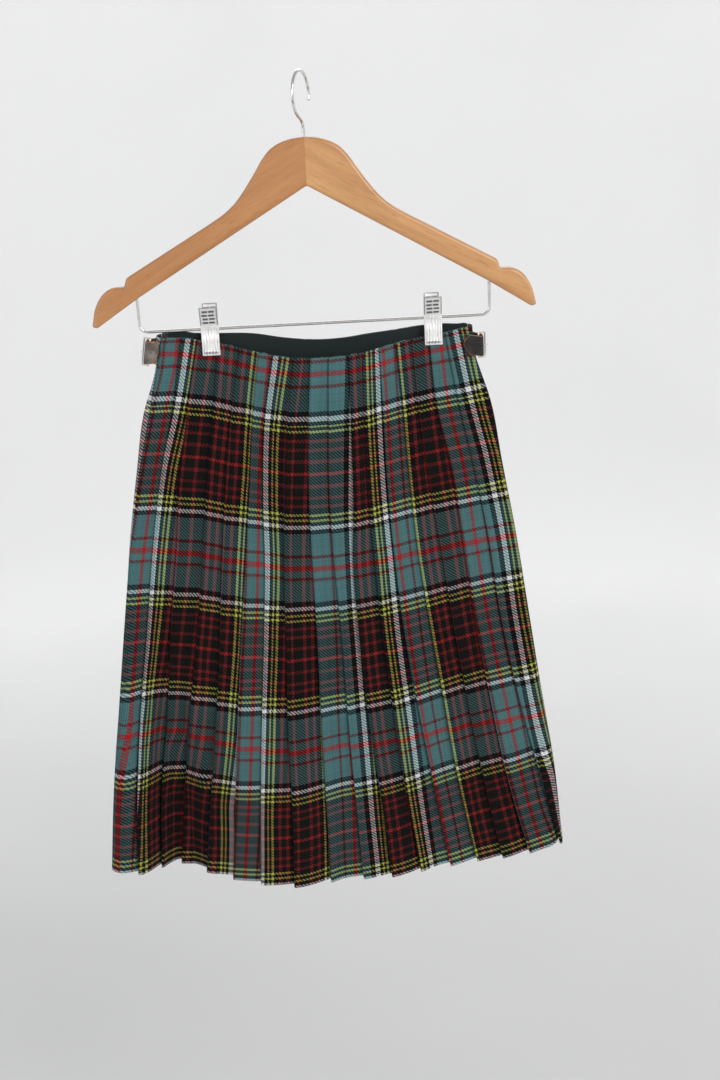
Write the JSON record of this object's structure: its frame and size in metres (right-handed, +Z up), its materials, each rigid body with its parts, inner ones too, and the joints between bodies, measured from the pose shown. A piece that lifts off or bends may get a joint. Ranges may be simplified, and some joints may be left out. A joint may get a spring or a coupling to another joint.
{
  "type": "pleated midi skirt on a clip hanger",
  "caption": "Knife-pleated wool wrap skirt with buckled hip straps, hung by its waist edge from the spring clips of a wooden hanger.",
  "frame": {"origin": "inner top of the hook's bend, where the hanger rests on what carries it", "axes": "+Z up, +X along the hanger to the right as seen from the pleated side, +Y away from that side, so the pleats look along -Y"},
  "size_m": [0.5014, 0.0635, 0.8656],
  "materials": {
    "tartan": "wool twill, matt, tartan in teal, dark green, red, yellow and white",
    "lining": "plain dark green lining, matt",
    "leather": "dark smooth leather with tan raw edges",
    "buckle_metal": "dull nickel",
    "wood": "light brown, satin varnish",
    "wire": "bright plated steel wire",
    "clip_plate": "bright plated pressed steel"
  },
  "bodies": {
    "root": {"pleated_back": "tartan", "over_apron": "tartan", "under_apron": "tartan", "waist_lining": "lining", "hip_left_tab": "leather", "hip_left_strap": "leather", "hip_right_tab": "leather", "hip_right_strap": "leather", "hip_left_buckle_frame": "buckle_metal", "hip_left_buckle_prong": "buckle_metal", "hip_right_buckle_frame": "buckle_metal", "hip_right_buckle_prong": "buckle_metal", "hanger_wood": "wood", "hanger_hook": "wire", "trouser_bar": "wire", "clip_left_front_jaw": "clip_plate", "clip_left_back_jaw": "clip_plate", "clip_left_spring": "wire", "clip_right_front_jaw": "clip_plate", "clip_right_back_jaw": "clip_plate", "clip_right_spring": "wire"}
  },
  "joints": []
}
